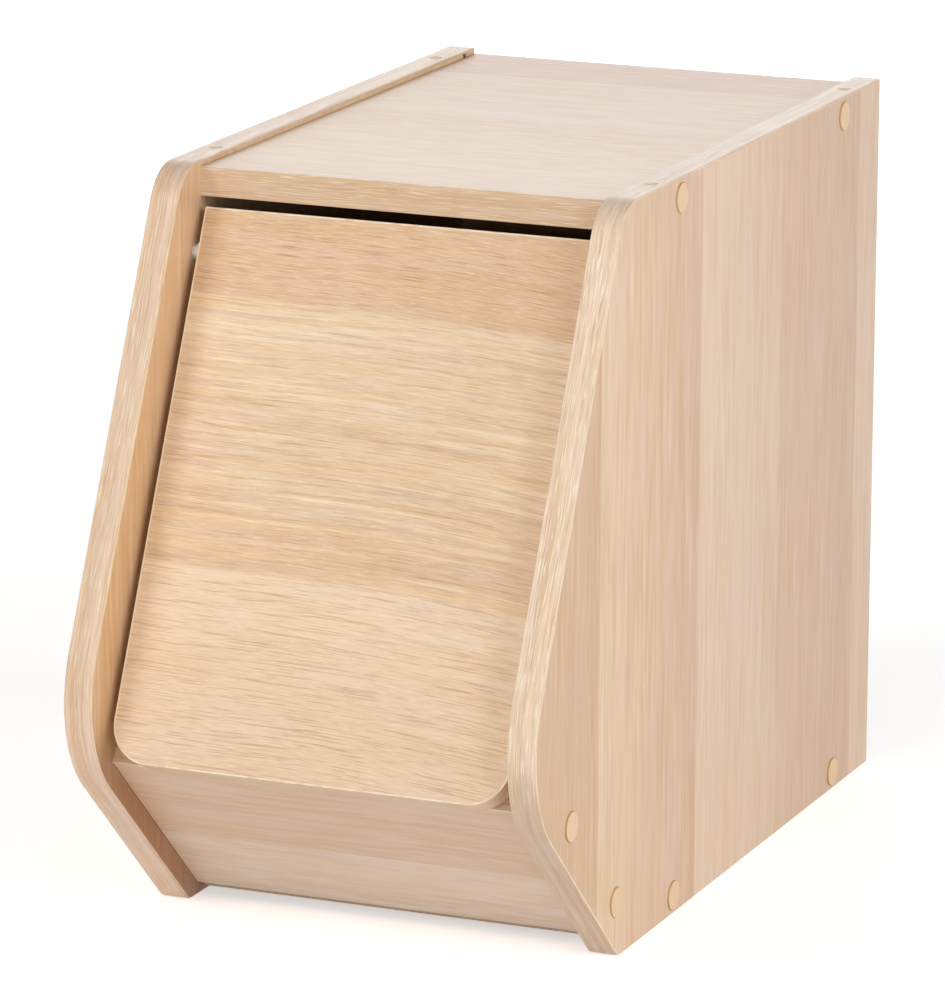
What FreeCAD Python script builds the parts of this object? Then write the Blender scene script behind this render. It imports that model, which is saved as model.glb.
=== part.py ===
# Stackable storage box of wood-grain board: two shaped sides carry a top, a bottom, a sloping
# apron and a thin back, and a tilting door hangs between the sides on two steel pivot pins.
# Frame: +Z up, the front faces -Y, the origin is the middle of the footprint on the floor.
import FreeCAD, Part
import math
import os

import Sketcher
from FreeCAD import Placement, Rotation, Vector

DRIVING_SIZES = {
    # overall box, and the board and edging that it is made of
    "box_width": "200",
    "box_depth": "388",
    "box_height": "304",
    "board": "12",
    "edging": "0.8",
    "arris_radius": "0.4",
    # outline of the sides: straight top and foot, slopes that meet in a round knee further forward
    "knee_overhang": "88",
    "knee_radius": "50",
    "knee_height": "103",
    "nose_radius": "21",
    "toe_radius": "6",
    # top and bottom panels, set back from the front end of the foot
    "shelf_setback": "16",
    "top_recess": "2.5",
    "bottom_lift": "1.4",
    # sloping apron below the door
    "apron_inset": "9.3",
    "apron_seat_gap": "0.3",
    # door, set back between the sides and resting on the apron's top arris
    "door_inset": "19.66",
    "door_rest_gap": "0.3",
    "door_overlap": "1.2",
    "door_head_gap": "3.5",
    "door_side_gap": "3.3",
    "door_corner_radius": "17",
    # pivot pins in the door's edges and their bushes in the sides
    "pivot_drop": "17.3",
    "pin_radius": "2.5",
    "pin_grip": "14",
    "collar_radius": "4",
    "collar_height": "2.6",
    "collar_round": "1.4",
    "journal_length": "7",
    "journal_clearance": "0.05",
    "bush_wall": "1.2",
    "bush_length": "8",
    # thin back, let into grooves
    "back_thickness": "3",
    "back_inset": "9.7",
    "groove_depth": "5",
    "groove_clearance": "0.1",
    # assembly screws and the covers over their heads
    "screw_length": "40",
    "screw_radius": "2.5",
    "screw_tip_length": "4",
    "screw_head_radius": "4.7",
    "screw_head_height": "3",
    "screw_clearance": "0.1",
    "shelf_screw_inset": "45.5",
    "apron_screw_share": "0.189",
    "cover_radius": "6.25",
    "cover_thickness": "0.6",
    "cover_chamfer": "0.3",
    # sleeved sockets for the stacking dowels, in the sides' top and bottom edges
    "socket_radius": "3",
    "sleeve_wall": "0.5",
    "sleeve_length": "10",
    "socket_rear_inset": "29.5",
    "socket_front_inset": "42.8",
    # how far a cutting tool runs past the face that it enters
    "overrun": "1",
}

UP = Vector(0, 0, 1)
SIDES = {"left": -1, "right": 1}
SHELVES = ("top", "bottom")
# two places or directions count as one when they differ by less than this share
SAME_SHARE = 0.0001

doc = FreeCAD.newDocument("StorageBox")
pieces = []


def add_sheet(name, sizes):
    """A spreadsheet with one named plain number in each row."""
    sheet = doc.addObject("Spreadsheet::Sheet", name)
    for row, (alias, number) in enumerate(sizes.items(), start=1):
        sheet.set(f"A{row}", alias)
        sheet.set(f"B{row}", number)
        sheet.setAlias(f"B{row}", alias)
    doc.recompute()
    return sheet


dims = add_sheet("Dims", DRIVING_SIZES)


def size(alias):
    return float(dims.get(alias))


def value(expression):
    """What an expression over the sheets comes to, as a plain number."""
    return float(dims.evalExpression(expression))


# Worked-out geometry of the side view, as vectors in the YZ plane

def tangent_to_knee(corner, turn):
    """Direction from a corner of the sides along the slope that runs into the round knee."""
    to_centre = knee_centre - corner
    swing = math.asin(size("knee_radius") / to_centre.Length)
    angle = math.atan2(to_centre.z, to_centre.y) + turn * swing
    return Vector(0, math.cos(angle), math.sin(angle))


def corner_between(start, along, other, other_along):
    """Where the line from start meets the line through other."""
    square = Vector(0, -other_along.z, other_along.y)
    return start + along * ((other - start).dot(square) / along.dot(square))


inner_half = size("box_width") / 2 - size("board")
rear = size("box_depth") / 2
toe = Vector(0, size("knee_overhang") - rear, 0)
nose = toe + UP * size("box_height")
knee_centre = Vector(0, size("knee_radius") - rear, size("knee_height"))

lower_up = tangent_to_knee(toe, 1)
lower_in = Vector(0, lower_up.z, -lower_up.y)
upper_down = tangent_to_knee(nose, -1)
upper_up = upper_down * -1
upper_in = Vector(0, -upper_down.z, upper_down.y)
knee = corner_between(toe, lower_up, nose, upper_up)

# corners of the sides' bare board, inside the edging on the top and front edges
bare_top = nose - UP * size("edging")
bare_lower = toe + lower_in * size("edging")
bare_upper = nose + upper_in * size("edging")
bare_toe = corner_between(bare_lower, lower_up, toe, Vector(0, 1, 0))
bare_nose = corner_between(bare_upper, upper_up, bare_top, Vector(0, 1, 0))
bare_knee = corner_between(bare_lower, lower_up, bare_upper, upper_up)

shelf_front = toe.y + size("shelf_setback")
shelf_base = {
    "top": size("box_height") - size("top_recess") - size("board"),
    "bottom": size("bottom_lift"),
}

# the apron's bottom edge seats on the bottom panel's upper front arris
bottom_arris = Vector(0, shelf_front, shelf_base["bottom"] + size("board"))
apron_start = (bottom_arris - toe).dot(lower_up) + size("apron_seat_gap")
apron_foot = toe + lower_in * size("apron_inset") + lower_up * apron_start
apron_place = Placement(apron_foot, Rotation(Vector(0, 1, 0), lower_in))

# the apron ends where the first of its top arrises meets the door's back
door_back = nose + upper_in * (size("door_inset") + size("board") + size("door_rest_gap"))


def reach_to_door(corner):
    return corner_between(corner, lower_up, door_back, upper_up) - corner


apron_corners = (apron_foot, apron_foot + lower_in * size("board"))
apron_corner = min(apron_corners, key=lambda corner: reach_to_door(corner).dot(lower_up))
apron_length = reach_to_door(apron_corner).Length
apron_arris = apron_corner + lower_up * apron_length

# the door's foot hangs past that arris, its top edge stays below the top panel
door_start = (apron_arris - nose).dot(upper_up) - size("door_overlap")
door_head = shelf_base["top"] - size("door_head_gap")
door_end = (door_head - nose.z - size("door_inset") * upper_in.z) / upper_up.z
door_foot = nose + upper_in * size("door_inset") + upper_up * door_start
door_place = Placement(door_foot, Rotation(Vector(0, 1, 0), upper_in))
pivot = door_foot + upper_in * (size("board") / 2)
pivot = pivot + upper_up * (door_end - door_start - size("pivot_drop"))

add_sheet("Worked", {
    "rear_edge": repr(rear),
    "toe_along": repr(toe.y),
    "knee_along": repr(knee.y),
    "knee_up": repr(knee.z),
    "bare_toe_along": repr(bare_toe.y),
    "bare_knee_along": repr(bare_knee.y),
    "bare_knee_up": repr(bare_knee.z),
    "bare_nose_along": repr(bare_nose.y),
    "bare_top_up": repr(bare_top.z),
    "inner_width": repr(2 * inner_half),
    "shelf_depth": repr(rear - shelf_front),
    "apron_length": repr(apron_length),
    "door_length": repr(door_end - door_start),
    "back_height": repr(shelf_base["top"] - shelf_base["bottom"] - size("board")),
})


# Ways of making a piece

def finish(piece, label):
    piece.Label = label
    pieces.append(piece)
    return piece


def outline(sketch, corners):
    """A closed outline whose corners are pairs of expressions, each bound to the sketch."""
    points = [Vector(value(across), value(up), 0) for across, up in corners]
    count = len(points)
    for number in range(count):
        line = Part.LineSegment(points[number], points[(number + 1) % count])
        sketch.addGeometry(line, False)
    for number in range(count):
        following = (number + 1) % count
        sketch.addConstraint(Sketcher.Constraint("Coincident", number, 2, following, 1))
    for number, (point, corner) in enumerate(zip(points, corners)):
        for kind, place, expression in zip(("DistanceX", "DistanceY"), (point.x, point.y), corner):
            bound = sketch.addConstraint(Sketcher.Constraint(kind, -1, 1, number, 1, place))
            sketch.setExpression(f"Constraints[{bound}]", expression)


def sketched_body(name, plane_role, corners):
    body = doc.addObject("PartDesign::Body", name)
    sketch = body.newObject("Sketcher::SketchObject", name + "_outline")
    plane = next(item for item in body.Origin.OriginFeatures if item.Role == plane_role)
    sketch.AttachmentSupport = [(plane, "")]
    sketch.MapMode = "FlatFace"
    outline(sketch, corners)
    return body, sketch


def fillet(body, feature, radius, wanted):
    """Round the wanted edges of a body's last feature, with a radius bound to the sheet."""
    doc.recompute()
    edges = enumerate(feature.Shape.Edges, start=1)
    names = [f"Edge{index}" for index, edge in edges if wanted(edge)]
    rounded = body.newObject("PartDesign::Fillet", feature.Name + "_round")
    rounded.Base = (feature, names)
    rounded.setExpression("Radius", radius)
    body.Tip = rounded
    return rounded


def starting_along(point, along):
    """Picks the edges through a point that set off in a direction."""
    def wanted(edge):
        parallel = edge.tangentAt(edge.FirstParameter).cross(along).Length < SAME_SHARE
        return parallel and edge.distToShape(Part.Vertex(point))[0] < size("board") * SAME_SHARE
    return wanted


def arrises(across, keep):
    """Picks a board's arrises, square to its thickness, whose middles are to be kept."""
    def wanted(edge):
        halfway = (edge.FirstParameter + edge.LastParameter) / 2
        in_face = abs(edge.tangentAt(halfway).dot(across)) < SAME_SHARE
        return in_face and keep(edge.valueAt(halfway))
    return wanted


def board_blank(name, plane_role, corners, thickness, roundings=()):
    """A board cut to an outline in an upright plane, its first face in that plane."""
    body, sketch = sketched_body(name, plane_role, corners)
    pad = body.newObject("PartDesign::Pad", name + "_pad")
    pad.Profile = sketch
    pad.Reversed = plane_role == "XZ_Plane"
    pad.setExpression("Length", thickness)
    body.Tip = pad
    across = Vector(1, 0, 0) if plane_role == "YZ_Plane" else Vector(0, 1, 0)
    for point, radius in roundings:
        fillet(body, body.Tip, radius, starting_along(point, across))
    return body


def turned(name, corners):
    """A turned piece: half of its section, as radius and height, swept round the Z axis."""
    body, sketch = sketched_body(name, "XZ_Plane", corners)
    spin = body.newObject("PartDesign::Revolution", name + "_turn")
    spin.Profile = sketch
    spin.ReferenceAxis = (sketch, ["V_Axis"])
    spin.Angle = 360
    body.Tip = spin
    return body


def block(name, length, width, height):
    box = doc.addObject("Part::Box", name)
    for prop, expression in zip(("Length", "Width", "Height"), (length, width, height)):
        box.setExpression(prop, expression)
    doc.recompute()
    return box


def put_block(box, base, frame=Placement()):
    """Lay a block in a frame, its X extent centred on a base point."""
    centred = Placement(base - Vector(box.Length.Value / 2, 0, 0), Rotation())
    box.Placement = frame.multiply(centred)
    return box


def bore(name, radius, depth, mouth, inward):
    """A drilled hole's tool, from its mouth inward."""
    drill = doc.addObject("Part::Cylinder", name)
    drill.setExpression("Radius", radius)
    drill.setExpression("Height", f"{depth} + Dims.overrun")
    drill.Placement = Placement(mouth - inward * size("overrun"), Rotation(UP, inward))
    return drill


def cut(name, base, tools):
    result = doc.addObject("Part::Cut", name)
    result.Base = base
    result.Tool = tools[0]
    if len(tools) > 1:
        joined = doc.addObject("Part::MultiFuse", name + "_tools")
        joined.Shapes = tools
        result.Tool = joined
    return result


def copies(label, master, places):
    """One node of identical pieces, each a link to the master at its own place."""
    links = []
    for number, place in enumerate(places):
        link = doc.addObject("App::Link", f"{label}_{number}")
        link.setLink(master)
        link.LinkPlacement = place
        links.append(link)
    group = doc.addObject("Part::Compound", label)
    group.Links = links
    return finish(group, label)


def outward(side):
    return Vector(side, 0, 0)


def facing(point, direction):
    return Placement(point, Rotation(UP, direction))


# Where the screws and the stacking sockets are, in the YZ plane

screw_sites = {}
for shelf in SHELVES:
    middle = shelf_base[shelf] + size("board") / 2
    ends = (shelf_front + size("shelf_screw_inset"), rear - size("shelf_screw_inset"))
    screw_sites[shelf] = [Vector(0, along, middle) for along in ends]
apron_middle = apron_foot + lower_in * (size("board") / 2)
apron_shares = (size("apron_screw_share"), 1 - size("apron_screw_share"))
screw_sites["apron"] = [apron_middle + lower_up * apron_length * share for share in apron_shares]
all_screws = [site for sites in screw_sites.values() for site in sites]

socket_alongs = (toe.y + size("socket_front_inset"), rear - size("socket_rear_inset"))
socket_x = size("box_width") / 2 - size("board") / 2


def socket_mouths(side):
    """Mouths of one side's sockets and the way out of each: top edge first, then bottom edge."""
    tops = [(Vector(side * socket_x, along, size("box_height")), UP) for along in socket_alongs]
    feet = [(Vector(side * socket_x, along, 0), UP * -1) for along in socket_alongs]
    return tops + feet


# Sides: shaped boards with screw holes, a blind bore for the bush, stacking sockets and a groove.
# The edging is laid after the groove is cut and covers its upper end.

groove_along = rear - size("back_inset") - size("back_thickness") - size("groove_clearance")


def groove_tool(name, length, height, base):
    """The saw cut that the back panel slides into."""
    tool = block(name, length, "Dims.back_thickness + 2 * Dims.groove_clearance", height)
    return put_block(tool, base + Vector(0, groove_along, 0))


def side_tools(hand, side):
    out = outward(side)
    outer = out * (size("box_width") / 2)
    inner = out * inner_half
    tools = []
    for number, site in enumerate(all_screws):
        name = f"{hand}_screw_{number}"
        radius = "Dims.screw_radius + Dims.screw_clearance"
        tools.append(bore(f"{name}_hole", radius, "Dims.board + Dims.overrun", outer + site, out * -1))
        radius = "Dims.screw_head_radius + Dims.screw_clearance"
        tools.append(bore(f"{name}_seat", radius, "Dims.screw_head_height", outer + site, out * -1))
    radius = "Dims.pin_radius + Dims.journal_clearance + Dims.bush_wall"
    tools.append(bore(f"{hand}_bush_seat", radius, "Dims.bush_length", inner + pivot, out))
    groove_foot = Vector(side * inner_half, 0, -size("overrun"))
    tools.append(groove_tool(f"{hand}_groove", "2 * Dims.groove_depth",
                             "Dims.box_height + 2 * Dims.overrun", groove_foot))
    return tools


def socket_tools(hand, side):
    """Bores of the stacking sockets, which also go through the edging."""
    tools = []
    radius = "Dims.socket_radius + Dims.sleeve_wall"
    for number, (mouth, way_out) in enumerate(socket_mouths(side)):
        tools.append(bore(f"{hand}_socket_{number}", radius, "Dims.sleeve_length", mouth, way_out * -1))
    return tools


FULL_SIDE = (
    ("Worked.rear_edge", "0"),
    ("Worked.rear_edge", "Dims.box_height"),
    ("Worked.toe_along", "Dims.box_height"),
    ("Worked.knee_along", "Worked.knee_up"),
    ("Worked.toe_along", "0"),
)
BARE_SIDE = (
    ("Worked.rear_edge", "0"),
    ("Worked.rear_edge", "Worked.bare_top_up"),
    ("Worked.bare_nose_along", "Worked.bare_top_up"),
    ("Worked.bare_knee_along", "Worked.bare_knee_up"),
    ("Worked.bare_toe_along", "0"),
)


def banded(middle):
    """The top and front arrises carry edging, the rear and bottom ones are bare."""
    return middle.y < rear * (1 - SAME_SHARE) and middle.z > nose.z * SAME_SHARE


for hand, side in SIDES.items():
    left_face = "-Dims.box_width / 2" if side < 0 else "Dims.box_width / 2 - Dims.board"
    full = board_blank(f"{hand}_side_full", "YZ_Plane", FULL_SIDE, "Dims.board", (
        (nose, "Dims.nose_radius"),
        (knee, "Dims.knee_radius"),
        (toe, "Dims.toe_radius"),
    ))
    fillet(full, full.Tip, "Dims.arris_radius", arrises(Vector(1, 0, 0), banded))
    bare = board_blank(f"{hand}_side_bare", "YZ_Plane", BARE_SIDE, "Dims.board", (
        (bare_nose, "Dims.nose_radius - Dims.edging"),
        (bare_knee, "Dims.knee_radius - Dims.edging"),
        (bare_toe, "Dims.toe_radius"),
    ))
    for blank in (full, bare):
        blank.setExpression("Placement.Base.x", left_face)
    sockets = socket_tools(hand, side)
    finish(cut(f"{hand}_side_panel", bare, side_tools(hand, side) + sockets), f"{hand}_side_panel")
    band = cut(f"{hand}_side_band_blank", full, [bare])
    finish(cut(f"{hand}_side_edge_band", band, sockets), f"{hand}_side_edge_band")


# Top and bottom panels: alike, let in between the sides, edged at the front and grooved for the back

def pilot_holes(name, sites):
    tools = []
    depth = "Dims.screw_length - Dims.board + Dims.screw_clearance"
    radius = "Dims.screw_radius + Dims.screw_clearance"
    for hand, side in SIDES.items():
        for number, site in enumerate(sites):
            mouth = outward(side) * inner_half + site
            tools.append(bore(f"{name}_{hand}_pilot_{number}", radius, depth, mouth, outward(-side)))
    return tools


def edge_strip(name, width, height):
    """A strip of edging in the XZ plane, centred on X, as wide and as high as given."""
    half = "Worked.inner_width / 2"
    corners = ((f"-{half}", "0"), (half, "0"), (half, height), (f"-{half}", height))
    return board_blank(name, "XZ_Plane", corners, width)


def strip_corner(along, up):
    return Vector(-inner_half, along, up)


groove_base = {
    "top": shelf_base["top"],
    "bottom": shelf_base["bottom"] + size("board") - size("groove_depth"),
}
for shelf in SHELVES:
    panel = block(f"{shelf}_blank", "Worked.inner_width", "Worked.shelf_depth - Dims.edging", "Dims.board")
    put_block(panel, Vector(0, shelf_front + size("edging"), shelf_base[shelf]))
    groove = groove_tool(f"{shelf}_groove", "Worked.inner_width + 2 * Dims.overrun",
                         "Dims.groove_depth", UP * groove_base[shelf])
    tools = pilot_holes(shelf, screw_sites[shelf]) + [groove]
    finish(cut(f"{shelf}_panel", panel, tools), f"{shelf}_panel")
    band = edge_strip(f"{shelf}_panel_edge_band", "Dims.edging", "Dims.board")
    for up in (0, size("board")):
        corner = strip_corner(0, up)
        fillet(band, band.Tip, "Dims.arris_radius", starting_along(corner, Vector(1, 0, 0)))
    band.Placement = Placement(Vector(0, shelf_front, shelf_base[shelf]), Rotation())
    finish(band, f"{shelf}_panel_edge_band")


# Apron: a sloping board between the sides, edged along its top

panel = block("apron_blank", "Worked.inner_width", "Dims.board", "Worked.apron_length - Dims.edging")
put_block(panel, Vector(), apron_place)
finish(cut("apron_panel", panel, pilot_holes("apron", screw_sites["apron"])), "apron_panel")
band = edge_strip("apron_edge_band", "Dims.board", "Dims.edging")
for along in (0, size("board")):
    corner = strip_corner(along, size("edging"))
    fillet(band, band.Tip, "Dims.arris_radius", starting_along(corner, Vector(1, 0, 0)))
band_lift = Placement(UP * (apron_length - size("edging")), Rotation())
band.Placement = apron_place.multiply(band_lift)
finish(band, "apron_edge_band")


# Back: a thin sheet held in the grooves of the sides, the top and the bottom

back = block("back_panel",
             "Worked.inner_width + 2 * Dims.groove_depth - 2 * Dims.groove_clearance",
             "Dims.back_thickness",
             "Worked.back_height + 2 * Dims.groove_depth - 2 * Dims.groove_clearance")
back_base = groove_base["bottom"] + size("groove_clearance")
put_block(back, Vector(0, groove_along + size("groove_clearance"), back_base))
finish(back, "back_panel")


# Door: a board with round lower corners, edged all round, drilled in both edges for the pins

def door_corners(margin):
    half = f"Worked.inner_width / 2 - Dims.door_side_gap - {margin}"
    return (
        (f"-({half})", margin),
        (half, margin),
        (half, f"Worked.door_length - {margin}"),
        (f"-({half})", f"Worked.door_length - {margin}"),
    )


def door_board(name, margin):
    half = inner_half - size("door_side_gap") - value(margin)
    lower = [Vector(side * half, 0, value(margin)) for side in SIDES.values()]
    radius = f"Dims.door_corner_radius - {margin}"
    roundings = [(corner, radius) for corner in lower]
    board = board_blank(name, "XZ_Plane", door_corners(margin), "Dims.board", roundings)
    board.Placement = door_place
    return board


def every_arris(middle):
    return True


door_full = door_board("door_full", "0")
fillet(door_full, door_full.Tip, "Dims.arris_radius", arrises(Vector(0, 1, 0), every_arris))
door_bare = door_board("door_bare", "Dims.edging")
pin_seats = []
for hand, side in SIDES.items():
    mouth = outward(side) * (inner_half - size("door_side_gap")) + pivot
    pin_seats.append(bore(f"door_{hand}_pin_seat", "Dims.pin_radius", "Dims.pin_grip", mouth, outward(-side)))
finish(cut("door_panel", door_bare, pin_seats), "door_panel")
band = cut("door_band_blank", door_full, [door_bare])
finish(cut("door_edge_band", band, pin_seats), "door_edge_band")


# Pivots: a steel pin with a domed collar in each door edge, turning in a plain bush in the side

pin_end = "Dims.door_side_gap + Dims.journal_length"
pin_master = turned("pivot_pin_master", (
    ("0", "-Dims.pin_grip"),
    ("Dims.pin_radius", "-Dims.pin_grip"),
    ("Dims.pin_radius", "0"),
    ("Dims.collar_radius", "0"),
    ("Dims.collar_radius", "Dims.collar_height"),
    ("Dims.pin_radius", "Dims.collar_height"),
    ("Dims.pin_radius", pin_end),
    ("0", pin_end),
))
collar_rim = Vector(size("collar_radius"), 0, size("collar_height"))
fillet(pin_master, pin_master.Tip, "Dims.collar_round", starting_along(collar_rim, Vector(0, 1, 0)))

bush_outer = "Dims.pin_radius + Dims.journal_clearance + Dims.bush_wall"
bush_master = turned("pivot_bush_master", (
    ("Dims.pin_radius + Dims.journal_clearance", "0"),
    (bush_outer, "0"),
    (bush_outer, "Dims.bush_length"),
    ("Dims.pin_radius + Dims.journal_clearance", "Dims.bush_length"),
))
for hand, side in SIDES.items():
    door_edge = outward(side) * (inner_half - size("door_side_gap"))
    copies(f"{hand}_pivot_pin", pin_master, [facing(door_edge + pivot, outward(side))])
    copies(f"{hand}_pivot_bush", bush_master, [facing(outward(side) * inner_half + pivot, outward(side))])


# Screws through the sides into the panels, with a round cover stuck over every head

screw_master = turned("screw_master", (
    ("0", "0"),
    ("Dims.screw_head_radius", "0"),
    ("Dims.screw_head_radius", "-Dims.screw_head_height"),
    ("Dims.screw_radius", "-Dims.screw_head_height"),
    ("Dims.screw_radius", "Dims.screw_tip_length - Dims.screw_length"),
    ("0", "-Dims.screw_length"),
))
cover_master = turned("cover_master", (
    ("0", "0"),
    ("Dims.cover_radius", "0"),
    ("Dims.cover_radius", "Dims.cover_thickness - Dims.cover_chamfer"),
    ("Dims.cover_radius - Dims.cover_chamfer", "Dims.cover_thickness"),
    ("0", "Dims.cover_thickness"),
))


def on_outer_face(side, site):
    return facing(outward(side) * (size("box_width") / 2) + site, outward(side))


for panel_name, sites in screw_sites.items():
    places = [on_outer_face(side, site) for side in SIDES.values() for site in sites]
    copies(f"{panel_name}_screws", screw_master, places)
for hand, side in SIDES.items():
    copies(f"{hand}_screw_covers", cover_master, [on_outer_face(side, site) for site in all_screws])


# Stacking sleeves: short tubes in the sides' top and bottom edges, mouth flush with the edge

sleeve_outer = "Dims.socket_radius + Dims.sleeve_wall"
sleeve_master = turned("sleeve_master", (
    ("Dims.socket_radius", "0"),
    (sleeve_outer, "0"),
    (sleeve_outer, "-Dims.sleeve_length"),
    ("Dims.socket_radius", "-Dims.sleeve_length"),
))
for hand, side in SIDES.items():
    places = [facing(mouth, way_out) for mouth, way_out in socket_mouths(side)]
    copies(f"{hand}_stacking_sleeves", sleeve_master, places)


# Check every object, then write each piece to its own file

doc.recompute()
for item in doc.Objects:
    if "Invalid" in item.State or "Error" in item.State:
        raise RuntimeError(f"{item.Label} failed: {item.State}")
os.makedirs("parts", exist_ok=True)
for piece in pieces:
    shape = piece.Shape
    if shape.isNull() or not shape.isValid():
        raise RuntimeError(f"{piece.Label} has no valid shape")
    shape.exportStep(f"parts/{piece.Label}.step")
    print(piece.Label, len(shape.Solids), round(shape.Volume, 1))
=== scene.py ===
import math

import bpy
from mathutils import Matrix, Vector

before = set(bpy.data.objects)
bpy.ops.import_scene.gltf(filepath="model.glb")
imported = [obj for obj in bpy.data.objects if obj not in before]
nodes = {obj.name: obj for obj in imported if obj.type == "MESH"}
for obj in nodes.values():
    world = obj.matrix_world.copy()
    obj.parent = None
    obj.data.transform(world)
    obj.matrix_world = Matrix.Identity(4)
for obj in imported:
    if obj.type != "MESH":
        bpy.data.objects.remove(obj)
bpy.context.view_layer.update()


# Side panels: two shaped boards of particle board with printed oak paper on both faces.
# The grain stands upright in planks of different tone, and the raw core shows at the rear
# edge, at the foot and in the bored holes.

MM = 0.001
ROSE_TAN = (226, 189, 155)
GOLDEN_TAN = (226, 187, 146)
PALE_STRAW = (238, 211, 177)
WARM_TAN = (227, 195, 162)
CREAM = (239, 211, 181)
SAND = (233, 203, 172)
DRAB_TAN = (225, 194, 165)
PALE_DRAB = (231, 202, 175)
HONEY_STREAK = (243, 211, 164)
GREY_STREAK = (219, 187, 156)
CREAM_STREAK = (252, 232, 201)
COMB_TINT = (246, 240, 231)
GRIT_TINT = (238, 231, 223)
BLUSH_TINT = (254, 250, 241)
PORE_TINT = (205, 178, 148)
FLECK = (252, 234, 208)
CORE_PALE = (206, 172, 128)
CORE_DARK = (142, 104, 66)
PAINTED_FOOT_SHADE = (206, 187, 184)


class Value:
    """A number or colour that varies over a surface; arithmetic on it adds Math nodes."""

    def __init__(self, tree, socket):
        self.tree = tree
        self.socket = socket

    def node(self, kind, settings, inputs, output=0):
        """Any other node: its type, its settings, then the values or links of its sockets."""
        made = self.tree.nodes.new("ShaderNode" + kind)
        for name, setting in settings.items():
            if name == "stops":
                set_stops(made.color_ramp, setting)
            else:
                setattr(made, name, setting)
        for name, given in inputs.items():
            if isinstance(given, Value):
                self.tree.links.new(given.socket, made.inputs[name])
            else:
                made.inputs[name].default_value = given
        return Value(self.tree, made.outputs[output])

    def beside(self, output):
        """Another output of the node that this value comes from."""
        return Value(self.tree, self.socket.node.outputs[output])

    def math(self, operation, *numbers):
        return self.node("Math", {"operation": operation}, dict(enumerate(numbers)))

    def __add__(self, other):
        return self.math("ADD", self, other)

    def __sub__(self, other):
        return self.math("SUBTRACT", self, other)

    def __rsub__(self, other):
        return self.math("SUBTRACT", other, self)

    def __mul__(self, other):
        return self.math("MULTIPLY", self, other)

    def __truediv__(self, other):
        return self.math("DIVIDE", self, other)

    def __abs__(self):
        return self.math("ABSOLUTE", self)

    __radd__ = __add__
    __rmul__ = __mul__


def set_stops(ramp, stops):
    """Give a colour ramp its stops, each a place from 0 to 1 and a colour."""
    ramp.elements.remove(ramp.elements[-1])
    for number, (position, colour) in enumerate(stops):
        stop = ramp.elements.new(position) if number else ramp.elements[0]
        stop.position = position
        stop.color = colour


def paint(colour, cover=1):
    """A colour named by its screen levels, as the light that it reflects, and its cover."""
    full = 255
    toe_level, toe_slope, offset, gamma = 0.04045, 12.92, 0.055, 2.4
    shares = [level / full for level in colour]
    curved = [((share + offset) / (1 + offset)) ** gamma for share in shares]
    return [share / toe_slope if share <= toe_level else bend
            for share, bend in zip(shares, curved)] + [cover]


def start_finish(name):
    """A new material, with the place and the facing of each point on the piece."""
    finish = bpy.data.materials.new(name)
    finish.use_nodes = True
    blank = Value(finish.node_tree, None)
    place = blank.node("TexCoord", {}, {}, "Object")
    return finish, place, place.beside("Normal")


def dot(vector, direction):
    return vector.node("VectorMath", {"operation": "DOT_PRODUCT"}, {0: vector, 1: direction}, "Value")


def measure(place, direction, start=(0, 0, 0)):
    """Millimetres from a starting point, in millimetres, along a direction."""
    return dot(place, direction) / MM - Vector(start).dot(Vector(direction))


def eased(value, low, high):
    """How far a value has come from low to high, from 0 to 1, eased at both ends."""
    return value.node("MapRange", {"interpolation_type": "SMOOTHSTEP"},
                      {"Value": value, "From Min": low, "From Max": high})


def blend(amount, first, second, how="MIX"):
    """The second colour laid over the first by an amount."""
    factor, under, over, result = 0, 6, 7, 2
    return amount.node("Mix", {"data_type": "RGBA", "blend_type": how},
                       {factor: amount, under: first, over: second}, result)


NOISE_MEAN = 0.5


def streaks(along, across, layer, run, pitch, detail=1.0):
    """Noise drawn out along the grain: run long and pitch wide, in millimetres."""
    spot = along.node("CombineXYZ", {}, {"X": along / run, "Y": across / pitch, "Z": layer})
    return spot.node("TexNoise", {},
                     {"Vector": spot, "Scale": 1.0, "Detail": detail, "Roughness": 0.55})


def finish_with(finish, colour, roughness, height, relief):
    """Colour, gloss and relief of a surface; relief is in millimetres."""
    shader = finish.node_tree.nodes["Principled BSDF"]
    links = finish.node_tree.links
    links.new(colour.socket, shader.inputs["Base Color"])
    links.new(roughness.socket, shader.inputs["Roughness"])
    bump = height.node("Bump", {}, {"Height": height, "Distance": relief * MM})
    links.new(bump.socket, shader.inputs["Normal"])
    return shader


def plank_tones(across, planks):
    """Tone of the printed planks: each has a start, an end, a tone at both and its figure."""
    low, high = planks[0][0], planks[-1][1]
    join = 0.0004
    stops = []
    for start, end, first, last, figure in planks:
        stops.append(((start - low) / (high - low) + join, paint(first, figure)))
        stops.append(((end - low) / (high - low) - join, paint(last, figure)))
    share = (across - low) / (high - low)
    return share.node("ValToRGB", {"stops": stops}, {"Fac": share})


def plank_number(across, planks):
    starts = [plank[0] for plank in planks[1:]]
    return sum(across.math("GREATER_THAN", across, start) for start in starts)


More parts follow.
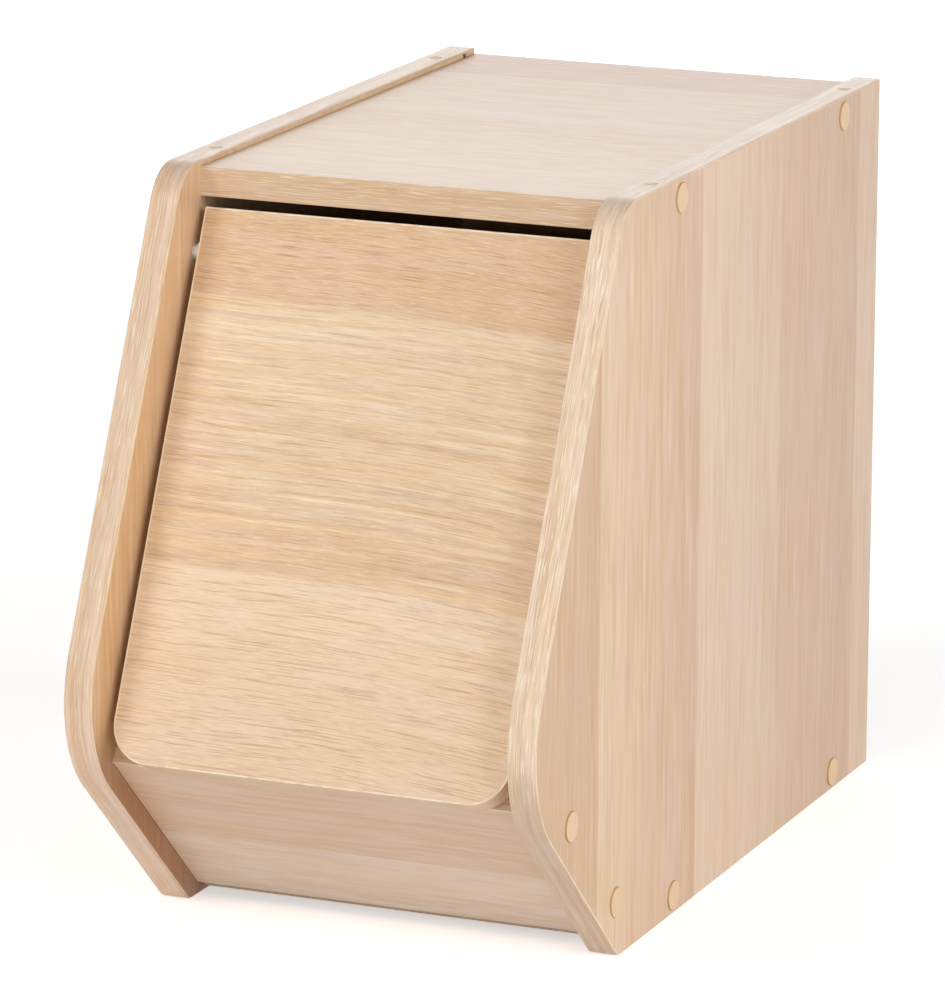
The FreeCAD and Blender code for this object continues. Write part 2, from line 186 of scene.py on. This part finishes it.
def oak_print(along, across, layer, planks, sway, comb, pore_share):
    """Printed oak: broad streaks, combed lines that sway with the grain, dark pores, pale flecks.

    Comb holds the combed lines' length and spacing, in millimetres, and their strength.
    """
    tone = plank_tones(across, planks)
    figure = tone.beside("Alpha")
    comb_run, comb_pitch, comb_share = comb
    plank_step = 3.7
    cut = layer + plank_number(across, planks) * plank_step
    drift = streaks(along, across, layer=cut, run=180, pitch=42) - NOISE_MEAN
    ripple = streaks(along, across, layer=cut + 5.3, run=36, pitch=10) - NOISE_MEAN
    flow = across + drift * sway + ripple * (sway * 0.15)
    honey = streaks(along, flow, layer=cut + 1.9, run=comb_run * 1.6, pitch=5.5, detail=2.0)
    grey = streaks(along, flow, layer=cut + 4.7, run=comb_run * 1.5, pitch=3.0, detail=2.0)
    cream = streaks(along, flow, layer=cut + 8.1, run=comb_run * 1.4, pitch=3.2, detail=2.0)
    blush = streaks(along, flow, layer=cut + 3.4, run=75, pitch=8)
    combed = streaks(along, flow, layer=cut + 2.6, run=comb_run, pitch=comb_pitch, detail=2.0)
    strong = eased(streaks(along, flow, layer=cut + 0.8, run=70, pitch=14), low=0.34, high=0.66)
    grit = streaks(along, flow, layer=cut + 9.4, run=6, pitch=0.5)
    patches = streaks(along, flow, layer=cut + 7.7, run=60, pitch=6)
    lines = streaks(along, flow, layer=cut + 6.2, run=80, pitch=1.7)
    broken = streaks(along, flow, layer=cut + 1.1, run=26, pitch=0.9)
    hairs = eased(abs(lines - NOISE_MEAN), low=0.06, high=0.01) * eased(broken, low=0.44, high=0.60)
    hairs = hairs * (0.1 + figure)
    ticks = streaks(along, flow, layer=cut + 5.1, run=18, pitch=0.4, detail=0)
    specks = eased(ticks + (patches - NOISE_MEAN) * 0.2, low=0.56, high=0.74) * (1.2 - figure)
    pores = (hairs + specks) * pore_share
    flecks = eased(grit, low=0.56, high=0.72) * pore_share
    honeyed = eased(honey, low=0.47, high=0.67) * figure * figure * 1.8
    colour = blend(honeyed, tone, paint(HONEY_STREAK))
    colour = blend(eased(grey, low=0.48, high=0.66) * figure, colour, paint(GREY_STREAK))
    colour = blend(eased(cream, low=0.54, high=0.70) * figure, colour, paint(CREAM_STREAK))
    colour = blend(eased(blush, low=0.35, high=0.65), colour, paint(BLUSH_TINT), "MULTIPLY")
    combing = eased(combed, low=0.60, high=0.40) * (0.5 + strong) * (0.4 + figure * 2) * comb_share
    colour = blend(combing, colour, paint(COMB_TINT), "MULTIPLY")
    colour = blend(eased(grit, low=0.52, high=0.32) * pore_share, colour, paint(GRIT_TINT), "MULTIPLY")
    colour = blend(pores, colour, paint(PORE_TINT), "MULTIPLY")
    colour = blend(flecks * 0.6, colour, paint(FLECK))
    height = combed * 0.4 - pores + flecks * 0.3
    roughness = 0.44 + pores * 0.14 - flecks * 0.05 + (combed - NOISE_MEAN) * 0.08
    return colour, roughness, height


def chip_core(place):
    """Pressed wood chips where a board is cut: pale and dark flakes lying every way."""
    flakes = place.node("TexVoronoi", {}, {"Vector": place, "Scale": 620.0}, "Color")
    grain = place.node("TexNoise", {}, {"Vector": place, "Scale": 900.0, "Detail": 3.0})
    tint = dot(flakes, (0.4, 0.35, 0.25))
    pale = eased(tint * 0.6 + grain * 0.4, low=0.25, high=0.7)
    colour = blend(pale, paint(CORE_DARK), paint(CORE_PALE))
    return colour, grain


def lay_paper(finish, place, facing, through, printed):
    """Oak paper on a board's broad faces, and the chip core where it is cut."""
    colour, roughness, height = printed
    core, chips = chip_core(place)
    faced = eased(abs(dot(facing, through)), low=0.5, high=0.8)
    colour = blend(faced, core, colour)
    roughness = faced * roughness + (1 - faced) * 0.85
    height = faced * height + (1 - faced) * chips * 3
    finish_with(finish, colour, roughness, height, 0.02)
    return finish


def dress(names, finish):
    """Put a finish on CAD pieces."""
    for name in names:
        for slot in nodes[name].material_slots:
            slot.material = finish


UPRIGHT = (0, 0, 1)
RIGHTWARD = (1, 0, 0)
BACKWARD = (0, 1, 0)
# Millimetres through a board over which its print changes to another sheet of paper.
FACE_STEP = 31
# Each plank's start and end, its tone at both, and the strength of its figure.
side_planks = {
    "left": (
        (-200, -151, GOLDEN_TAN, GOLDEN_TAN, 0.35),
        (-151, -55, GOLDEN_TAN, DRAB_TAN, 0.3),
        (-55, 40, PALE_DRAB, SAND, 0.15),
        (40, 148, PALE_STRAW, WARM_TAN, 0.15),
        (148, 200, CREAM, SAND, 0.15),
    ),
    "right": (
        (-200, -128.5, (222, 187, 157), (222, 187, 157), 0.2),
        (-128.5, -20.3, (239, 211, 183), (222, 188, 163), 0.3),
        (-20.3, 74, (237, 211, 188), (229, 202, 179), 0.14),
        (74, 169.8, (225, 194, 170), (219, 188, 166), 0.16),
        (169.8, 200, (232, 205, 184), (232, 205, 184), 0.16),
    ),
}
side_toe = Vector((0, -106, 0))
side_nose = Vector((0, -106, 304))
knee_centre = Vector((0, -144, 103))
knee_radius = 50
apron_foot = (0, -97.94, 5.22)


def tangent_angle(corner, turn):
    """Direction, in the side view, of the slope from a corner of the side into the round knee."""
    to_centre = knee_centre - corner
    swing = math.asin(knee_radius / to_centre.length)
    return math.atan2(to_centre.z, to_centre.y) + turn * swing


def pointing(angle):
    return Vector((0, math.cos(angle), math.sin(angle)))


quarter = math.pi / 2
lower_angle = tangent_angle(side_toe, 1)
lower_in = pointing(lower_angle - quarter)
inward = {"left": 1, "right": -1}
for hand, planks in side_planks.items():
    finish, place, facing = start_finish(f"{hand}_side_oak_paper")
    layer = measure(place, RIGHTWARD) / FACE_STEP
    height = measure(place, UPRIGHT)
    colour, roughness, relief = oak_print(height, measure(place, BACKWARD), layer, planks,
                                          sway=5, comb=(42, 2.4, 0.8), pore_share=0.08)
    # Painted shade: the inner face is darkened in front of the apron, most towards the foot.
    inner = eased(dot(facing, RIGHTWARD) * inward[hand], low=0.5, high=0.8)
    ahead = eased(measure(place, lower_in, apron_foot), low=14, high=-4)
    painted_foot_shade = inner * eased(height, low=112, high=60) * ahead
    colour = blend(painted_foot_shade, colour, paint(PAINTED_FOOT_SHADE), "MULTIPLY")
    printed = (colour, roughness, relief)
    dress([f"{hand}_side_panel"], lay_paper(finish, place, facing, RIGHTWARD, printed))


# Side edge bands: thin embossed plastic tape glued along the top and front edges of each side.
# Its printed grain runs with the edge round the nose and the knee, and its scraped rim is pale.

TAPE_TAN = (216, 182, 151)
TAPE_PALE = (231, 200, 172)
RIGHT_TAPE_TAN = (220, 190, 160)
RIGHT_TAPE_PALE = (238, 212, 187)
TAPE_BROWN = (186, 148, 110)
LEFT_FOOT_PAINTED_LIGHT = (266, 266, 272)
RIGHT_FOOT_PAINTED_SHADE = (241, 240, 244)
TAPE_CROWN_PAINTED_SHEEN = (247, 248, 252)
TAPE_RIM = (246, 229, 197)
TAPE_PAINTED_GLINT = (254, 240, 214)
TAPE_BLUSH = (254, 250, 238)
nose_radius = 21
upper_angle = tangent_angle(side_nose, -1) + math.pi
knee_turn = lower_angle - upper_angle
knee_middle = (lower_angle + upper_angle) / 2 + quarter
nose_turn = upper_angle
nose_middle = upper_angle / 2 + quarter
nose_reach = nose_radius * math.tan(nose_turn / 2)
lower_end = knee_centre + pointing(lower_angle + quarter) * knee_radius
upper_start = knee_centre + pointing(upper_angle + quarter) * knee_radius
upper_end = side_nose - pointing(upper_angle) * nose_reach
top_start = side_nose + Vector(BACKWARD) * nose_reach
nose_centre = top_start - Vector(UPRIGHT) * nose_radius
top_end = Vector((0, 194, 304))


def straight_run(place, start, end):
    """Distance gone along one straight stretch of an edge."""
    length = (end - start).length
    gone = measure(place, (end - start) / length, start)
    return gone.node("Clamp", {}, {"Value": gone, "Min": 0, "Max": length})


def round_run(place, centre, radius, middle, turn):
    """Distance gone round one bend of an edge, whose middle faces a given angle."""
    outward = measure(place, pointing(middle), centre)
    onward = measure(place, pointing(middle - quarter), centre)
    angle = outward.math("ARCTAN2", onward, outward)
    kept = angle.node("Clamp", {}, {"Value": angle, "Min": -turn / 2, "Max": turn / 2})
    return kept * radius


def tape_print(along, across, layer, pale, tan, painted_glint):
    """Oak tape: close lines that sway with the edge, brown ticks, and bright ticks that are painted
    glints of light on the embossing; both kinds of tick are strongest where the glint is.
    """
    sway = (streaks(along, across, layer=layer, run=55, pitch=6) - NOISE_MEAN) * 3
    flow = across + sway
    broad = streaks(along, flow, layer=layer + 1.3, run=190, pitch=2.8, detail=2.0)
    fine = streaks(along, flow, layer=layer + 6.1, run=40, pitch=0.6, detail=2.0)
    blush = streaks(along, flow, layer=layer + 5.5, run=60, pitch=5)
    glint_marks = streaks(along, flow, layer=layer + 3.9, run=11, pitch=0.4, detail=0.0)
    glint_marks = eased(glint_marks, low=0.58, high=0.70)
    dark = streaks(along, flow, layer=layer + 9.2, run=18, pitch=0.45, detail=0.0)
    dark = eased(dark, low=0.60, high=0.72)
    colour = blend(eased(broad * 0.6 + fine * 0.4, low=0.36, high=0.62), paint(tan), paint(pale))
    colour = blend(eased(blush, low=0.35, high=0.65), colour, paint(TAPE_BLUSH), "MULTIPLY")
    colour = blend(dark * (0.16 + painted_glint * 0.4), colour, paint(TAPE_BROWN))
    colour = blend(glint_marks * painted_glint, colour, paint(TAPE_PAINTED_GLINT))
    height = glint_marks - dark + fine * 0.5
    roughness = 0.42 + dark * 0.14 - glint_marks * 0.08
    return colour, roughness, height


def tape_finish(finish, along, across, layer, rim, painted_glint, pale=TAPE_PALE, tan=TAPE_TAN, light_and_shade_tints=()):
    """The tape's printed face, its painted light and shade on some facings, and its pale rim where the
    edge was scraped flush.
    """
    colour, roughness, height = tape_print(along, across, layer, pale, tan, painted_glint)
    worn = eased(streaks(along, across, layer=layer + 2.2, run=7, pitch=3), low=0.40, high=0.58)
    for amount, tint in light_and_shade_tints:
        colour = blend(amount, colour, paint(tint), "MULTIPLY")
    colour = blend(rim * (0.4 + worn * 0.6), colour, paint(TAPE_RIM))
    roughness = roughness + rim * 0.1
    finish_with(finish, colour, roughness, height * (1 - rim), 0.02)
    return finish


# Each side's tape: its pale and tan tones, the strength of its painted glints, and the tint on its
# lower slope, painted light on the left tape and painted shade on the right one.
side_tape_tones = {
    "left": (TAPE_PALE, TAPE_TAN, 0.25, LEFT_FOOT_PAINTED_LIGHT),
    "right": (RIGHT_TAPE_PALE, RIGHT_TAPE_TAN, 0.55, RIGHT_FOOT_PAINTED_SHADE),
}
for number, (hand, (pale, tan, glint, painted_foot_light_and_shade)) in enumerate(side_tape_tones.items()):
    finish, place, facing = start_finish(f"{hand}_side_tape")
    along = straight_run(place, side_toe, lower_end)
    along = along + round_run(place, knee_centre, knee_radius, knee_middle, knee_turn)
    along = along + straight_run(place, upper_start, upper_end)
    along = along + round_run(place, nose_centre, nose_radius, nose_middle, nose_turn)
    along = along + straight_run(place, top_start, top_end)
    top_edge = eased(measure(place, UPRIGHT), low=290, high=302)
    rim = eased(abs(dot(facing, RIGHTWARD)), low=0.65, high=0.95) * (1 - top_edge * 0.6)
    # The painted glints are strongest on the upper slope, which faces the light.
    upper = eased(dot(facing, pointing(upper_angle + quarter)), low=0.45, high=0.95)
    painted_glint = 0.15 + upper * glint
    # Painted light and shade on the lower slope: the left tape is lightened there and the right one
    # darkened.
    low = eased(dot(facing, pointing(lower_angle + quarter)), low=0.6, high=0.95)
    # Painted sheen: the up-facing crown gets a cooler, slightly darker tone.
    up_facing_sheen = eased(dot(facing, UPRIGHT), low=0.8, high=0.98)
    light_and_shade_tints = ((low, painted_foot_light_and_shade), (up_facing_sheen, TAPE_CROWN_PAINTED_SHEEN))
    across = measure(place, RIGHTWARD)
    tape = tape_finish(finish, along, across, number, rim, painted_glint, pale, tan, light_and_shade_tints)
    dress([f"{hand}_side_edge_band"], tape)


# Stacking sleeves: short moulded plastic tubes pressed flush into the sides' edges,
# where the loose dowels of the next box go in.

SLEEVE_PEACH = (255, 236, 212)
SLEEVE_CREAM = (255, 243, 224)
SLEEVE_RING = (222, 190, 158)
finish, place, facing = start_finish("sleeve_plastic")
mottle = place.node("TexNoise", {}, {"Vector": place, "Scale": 900.0, "Detail": 2.0})
colour = blend(mottle, paint(SLEEVE_PEACH), paint(SLEEVE_CREAM))
ring = eased(abs(dot(facing, UPRIGHT)), low=0.5, high=0.8)
colour = blend(ring, colour, paint(SLEEVE_RING))
finish_with(finish, colour, mottle * 0.1 + 0.4, mottle, 0.01)
dress(["left_stacking_sleeves", "right_stacking_sleeves"], finish)


# Top and bottom panels: boards screwed between the sides, oak paper on both faces.
# Their grain runs from side to side, and a strip of the oak tape covers each front edge.

SEAM_JOINT_AND_SHADE = (150, 118, 92)
SHELF_TAPE_PALE = (219, 189, 159)
SHELF_TAPE_TAN = (210, 177, 146)
STRAIGHT_PAINTED_GLINT = 0.4
half_span = 88
top_planks = (
    (-100, -42.3, (232, 207, 186), (236, 212, 190), 0.3),
    (-42.3, 52.8, (235, 210, 185), (225, 197, 171), 0.3),
    (52.8, 147.8, (227, 204, 182), (219, 191, 167), 0.3),
    (147.8, 200, (204, 169, 144), (206, 171, 146), 0.2),
)


def butted(printed, side):
    """The print of a board that fits between the sides, dark in the seam at both its ends: a dark
    joint line with painted contact shade.
    """
    colour, roughness, height = printed
    joint_shade = eased(abs(side), low=half_span - 0.7, high=half_span - 0.1)
    return blend(joint_shade, colour, paint(SEAM_JOINT_AND_SHADE), "MULTIPLY"), roughness, height


finish, place, facing = start_finish("shelf_oak_paper")
side = measure(place, RIGHTWARD)
layer = measure(place, UPRIGHT) / FACE_STEP
printed = oak_print(side, measure(place, BACKWARD), layer, top_planks,
                    sway=6, comb=(16, 3.0, 0.65), pore_share=0.08)
shelf_paper = lay_paper(finish, place, facing, UPRIGHT, butted(printed, side))
dress(["top_panel", "bottom_panel"], shelf_paper)


def straight_tape(name, across, start, pale, tan):
    """Tape on a straight edge from side to side, its rim on the faces that look across it."""
    finish, place, facing = start_finish(name)
    rim = eased(abs(dot(facing, across)), low=0.45, high=0.85)
    layer = 4.0 + start[2]
    along = measure(place, RIGHTWARD)
    width = measure(place, across, start)
    return tape_finish(finish, along, width, layer, rim, STRAIGHT_PAINTED_GLINT, pale, tan)


shelf_tape = straight_tape("shelf_tape", UPRIGHT, (0, 0, 0), SHELF_TAPE_PALE, SHELF_TAPE_TAN)
dress(["top_panel_edge_band", "bottom_panel_edge_band"], shelf_tape)


# Apron: a narrow board that slopes forward below the door, screwed between the sides.
# Oak paper on both faces, grain from side to side, tape on its upper edge.

lower_up = pointing(lower_angle)
apron_planks = (
    (-10, 47, (245, 226, 209), (235, 215, 200), 0.14),
    (47, 116, (228, 199, 176), (228, 199, 176), 0.14),
)
finish, place, facing = start_finish("apron_oak_paper")
side = measure(place, RIGHTWARD)
layer = measure(place, lower_in) / FACE_STEP
printed = oak_print(side, measure(place, lower_up, apron_foot), layer, apron_planks,
                    sway=7, comb=(32, 2.8, 1.1), pore_share=0.1)
dress(["apron_panel"], lay_paper(finish, place, facing, lower_in, butted(printed, side)))
dress(["apron_edge_band"], straight_tape("apron_tape", lower_in, apron_foot, TAPE_PALE, TAPE_TAN))


# Back: a thin hardboard sheet slid into grooves in the sides, the top and the bottom.
# Oak paper faces the inside, and the brown fibre shows from behind.

FIBRE_DARK = (134, 96, 62)
FIBRE_PALE = (176, 134, 92)
finish, place, facing = start_finish("back_hardboard")
back_planks = (
    (-20, 61, SAND, CREAM, 0.2),
    (61, 168, WARM_TAN, PALE_STRAW, 0.5),
    (168, 320, ROSE_TAN, ROSE_TAN, 0.2),
)
printed = oak_print(measure(place, RIGHTWARD), measure(place, UPRIGHT), 2.0, back_planks,
                    sway=5, comb=(70, 1.8, 0.4), pore_share=0.3)
colour, roughness, height = printed
fibres = place.node("TexNoise", {},
                    {"Vector": place, "Scale": 700.0, "Detail": 5.0, "Roughness": 0.7})
blotches = place.node("TexNoise", {}, {"Vector": place, "Scale": 30.0, "Detail": 3.0})
bleached = eased(fibres * 0.7 + blotches * 0.3, low=0.3, high=0.7)
board = blend(bleached, paint(FIBRE_DARK), paint(FIBRE_PALE))
papered = eased(dot(facing, BACKWARD) * -1, low=0.5, high=0.8)
colour = blend(papered, board, colour)
roughness = papered * roughness + (1 - papered) * 0.75
height = papered * height + (1 - papered) * fibres * 2
finish_with(finish, colour, roughness, height, 0.05)
dress(["back_panel"], finish)


# Assembly screws: zinc-plated steel, driven through the sides into the ends of the boards.

ZINC_DULL = (178, 172, 160)
ZINC_BRIGHT = (214, 208, 196)
finish, place, facing = start_finish("screw_zinc")
scuffs = place.node("TexNoise", {}, {"Vector": place, "Scale": 1500.0, "Detail": 4.0})
colour = blend(scuffs, paint(ZINC_DULL), paint(ZINC_BRIGHT))
shader = finish_with(finish, colour, scuffs * 0.2 + 0.28, scuffs, 0.01)
shader.inputs["Metallic"].default_value = 1
dress(["top_screws", "bottom_screws", "apron_screws"], finish)


# Screw covers: thin self-coloured plastic discs stuck over the screw heads.
# Their bevelled rims are a deeper orange than their stippled faces, partly the plastic's own tone and
# partly painted shade.

COVER_SAND = (232, 198, 157)
COVER_CREAM = (240, 209, 169)
COVER_RIM_TONE_AND_SHADE = (190, 148, 92)
finish, place, facing = start_finish("cover_plastic")
stipple = place.node("TexNoise", {}, {"Vector": place, "Scale": 2600.0, "Detail": 2.0})
tint = place.node("TexNoise", {}, {"Vector": place, "Scale": 60.0, "Detail": 1.0})
colour = blend(tint * 0.6 + stipple * 0.4, paint(COVER_SAND), paint(COVER_CREAM))
# Painted shade and a deeper plastic tone on the bevelled rim.
shaded_bevel = eased(abs(dot(facing, RIGHTWARD)), low=0.95, high=0.75)
colour = blend(shaded_bevel, colour, paint(COVER_RIM_TONE_AND_SHADE))
finish_with(finish, colour, stipple * 0.12 + 0.42, stipple, 0.02)
dress(["left_screw_covers", "right_screw_covers"], finish)


# Pivots: nickel-plated steel pins grip the door's edges, and turn in nylon bushes in the sides.

NYLON_GREY = (226, 222, 210)
NYLON_WHITE = (240, 237, 228)
NICKEL_GREY = (242, 239, 232)
NICKEL_WHITE = (252, 250, 245)
finish, place, facing = start_finish("bush_nylon")
milk = place.node("TexNoise", {}, {"Vector": place, "Scale": 500.0, "Detail": 2.0})
colour = blend(milk, paint(NYLON_GREY), paint(NYLON_WHITE))
finish_with(finish, colour, milk * 0.1 + 0.38, milk, 0.01)
dress(["left_pivot_bush", "right_pivot_bush"], finish)

finish, place, facing = start_finish("pin_nickel")
rings = place.node("TexNoise", {}, {"Vector": place, "Scale": 1800.0, "Detail": 3.0})
colour = blend(rings, paint(NICKEL_GREY), paint(NICKEL_WHITE))
shader = finish_with(finish, colour, rings * 0.06 + 0.22, rings, 0.002)
shader.inputs["Metallic"].default_value = 0.12
dress(["left_pivot_pin", "right_pivot_pin"], finish)


# Door: a board with round lower corners that hangs on the pins and rests on the apron.
# Oak paper with the grain across on both faces, tape all round with a pale scraped rim.

door_foot = (0, -187.57, 81.13)
door_up = pointing(upper_angle)
door_in = pointing(upper_angle - quarter)
door_planks = (
    (-10, 80.8, (232, 201, 170), (241, 214, 184), 0.15),
    (80.8, 189.3, (229, 196, 163), (238, 212, 181), 0.55),
    (189.3, 240, (225, 188, 152), (225, 188, 152), 0.15),
)
bow_start, bow_reach, bow_drop = -30, 85, 3.5
DOOR_PAINTED_GLINT = 0.5
finish, place, facing = start_finish("door_oak_paper")
side = measure(place, RIGHTWARD)
bend = (side - bow_start) / bow_reach
bowed = measure(place, door_up, door_foot) + bend * abs(bend) * bow_drop
layer = measure(place, door_in) / FACE_STEP
printed = oak_print(side, bowed, layer, door_planks, sway=4, comb=(85, 2.4, 0.3), pore_share=0.44)
dress(["door_panel"], lay_paper(finish, place, facing, door_in, printed))

finish, place, facing = start_finish("door_tape")
sideways = eased(abs(dot(facing, RIGHTWARD)), low=0.4, high=0.8)
along = sideways * measure(place, door_up, door_foot) + (1 - sideways) * measure(place, RIGHTWARD)
rim = eased(abs(dot(facing, door_in)), low=0.45, high=0.85)
width = measure(place, door_in, door_foot)
dress(["door_edge_band"], tape_finish(finish, along, width, 8.0, rim, DOOR_PAINTED_GLINT))


# Floor, light and camera: a plain white floor under soft studio light, seen from the right.

bpy.ops.object.select_all(action="DESELECT")
floor_size = 24
bpy.ops.mesh.primitive_plane_add(size=floor_size)
floor = bpy.context.object
floor.name = "studio_floor"
white = bpy.data.materials.new("studio_white")
white.use_nodes = True
blank = Value(white.node_tree, None)


def seen_white(blank):
    """1 where the camera, a reflection or a clear material looks at the studio, else 0."""
    kinds = ("Camera", "Glossy", "Transmission")
    seen = [blank.node("LightPath", {}, {}, f"Is {kind} Ray") for kind in kinds]
    return blank.math("MINIMUM", seen[0] + seen[1] + seen[2], 1)


FLOOR_WHITE = (246, 246, 246)
floor_glow = 0.5
matt = blank.node("BsdfDiffuse", {}, {"Color": paint(FLOOR_WHITE)})
glow = blank.node("Emission", {}, {"Strength": seen_white(blank) * floor_glow})
both = blank.node("AddShader", {}, {0: matt, 1: glow})
white.node_tree.links.new(both.socket, white.node_tree.nodes["Material Output"].inputs["Surface"])
floor.data.materials.append(white)

world = bpy.data.worlds.new("studio")
world.use_nodes = True
bpy.context.scene.world = world
blank = Value(world.node_tree, None)
ambient = 0.236
sky = world.node_tree.nodes["Background"]
level = seen_white(blank) * (1 - ambient) + ambient
world.node_tree.links.new(level.socket, sky.inputs["Strength"])
sky.inputs["Color"].default_value = (1, 1, 1, 1)


def softbox(name, position, width, power):
    """A square lamp of a given width, in metres, aimed at the middle of the box."""
    bpy.ops.object.light_add(type="AREA", location=position)
    lamp = bpy.context.object
    lamp.name = name
    lamp.data.size = width
    lamp.data.energy = power
    box_middle = Vector((0, -0.02, 0.15))
    aim = box_middle - Vector(position)
    lamp.rotation_euler = aim.to_track_quat("-Z", "Y").to_euler()
    lamp.visible_camera = False


softbox("front_low", (0.3, -2.2, 0.3), 0.9, 12)
softbox("left_high", (-1.3, -1.7, 1.5), 0.9, 16.5)
softbox("right_key", (1.55, -1.3, 1.35), 0.5, 7.4)
softbox("right_low", (1.75, -1.45, 0.55), 0.6, 2.9)
softbox("right", (2.5, -0.2, 0.9), 1.4, 21.5)
softbox("rear", (-0.9, 2.2, 0.9), 1.6, 15)

camera_data = bpy.data.cameras.new("camera")
camera_data.sensor_fit = "VERTICAL"
camera_data.sensor_height = 36
camera_data.lens = 227.7
camera_data.clip_end = 50
camera = bpy.data.objects.new("camera", camera_data)
camera_turns = (76.00818, -0.24355, 22.63798)
camera.location = (0.96503, -2.33843, 0.78278)
camera.rotation_euler = [math.radians(turn) for turn in camera_turns]
bpy.context.scene.collection.objects.link(camera)
bpy.context.scene.camera = camera
bpy.context.scene.view_settings.view_transform = "Standard"
